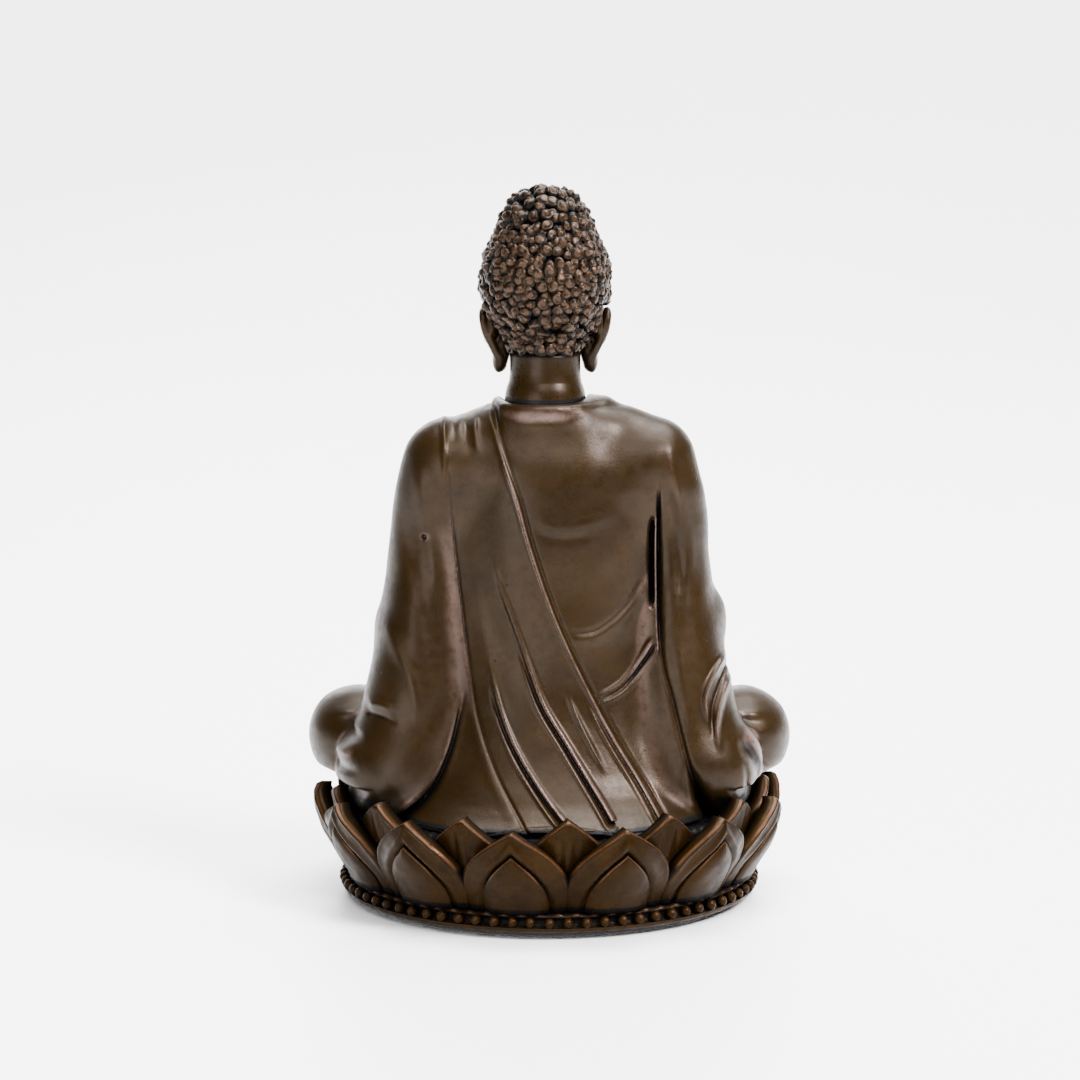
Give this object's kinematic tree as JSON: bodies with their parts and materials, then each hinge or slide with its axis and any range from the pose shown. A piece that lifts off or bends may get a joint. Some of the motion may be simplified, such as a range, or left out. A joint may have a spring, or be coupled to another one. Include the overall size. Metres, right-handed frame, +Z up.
{
  "type": "buddha statue",
  "caption": "Small cast statuette of a Buddha seated cross-legged in a draped robe on a double lotus base with a beaded foot.",
  "frame": {"origin": "centre of the flat underside of the base, where the felt pad rests", "axes": "+Z up; the figure faces -Y; its left side is +X"},
  "size_m": [0.057, 0.0567, 0.0848],
  "materials": {
    "felt": "black felt pad, short nap",
    "base_bronze": "satin dark bronze patina, black in the recesses",
    "petal_bronze": "satin dark bronze patina, coppery worn edges",
    "robe_bronze": "satin brown bronze patina with pale highlights",
    "skin_bronze": "smooth satin brown bronze patina",
    "hair_bronze": "near-black patina with rubbed tops"
  },
  "bodies": {
    "root": {"felt_pad": "felt", "foot_rim": "base_bronze", "bead_row": "petal_bronze", "lotus_core": "base_bronze", "inner_petals": "petal_bronze", "outer_petals": "petal_bronze", "petal_leaves": "petal_bronze", "robe_skirt": "robe_bronze", "torso": "robe_bronze", "outer_robe": "robe_bronze", "left_sleeve": "robe_bronze", "right_sleeve": "robe_bronze", "left_leg": "robe_bronze", "right_leg": "robe_bronze", "left_hand": "skin_bronze", "right_hand": "skin_bronze", "left_foot": "skin_bronze", "right_foot": "skin_bronze", "head": "skin_bronze", "left_ear": "skin_bronze", "right_ear": "skin_bronze", "hair_curls": "hair_bronze"}
  },
  "joints": []
}
